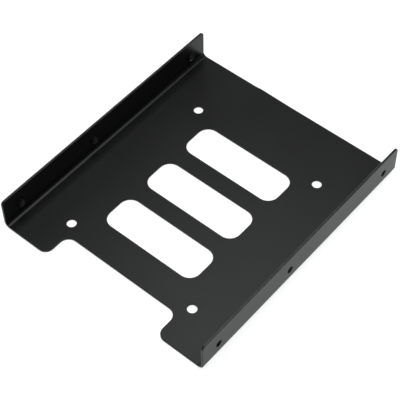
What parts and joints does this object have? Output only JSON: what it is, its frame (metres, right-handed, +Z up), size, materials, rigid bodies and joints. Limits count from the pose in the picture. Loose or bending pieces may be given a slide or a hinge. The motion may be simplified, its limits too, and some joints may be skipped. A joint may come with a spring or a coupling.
{
  "type": "drive bay adapter bracket",
  "caption": "Folded sheet-steel tray that holds a small drive on its plate and screws into a larger drive bay by its upturned flanges.",
  "frame": {"origin": "middle of the underside of the plate: half way across, and half way along", "axes": "+Y along the flanges, away from the cable notch; +X across the bracket; +Z up, the way the flanges stand"},
  "size_m": [0.101, 0.1197, 0.0147],
  "materials": {
    "black_powder_coat": "satin black powder coat with a fine even grain"
  },
  "bodies": {
    "root": {"bracket": "black_powder_coat"}
  },
  "joints": []
}
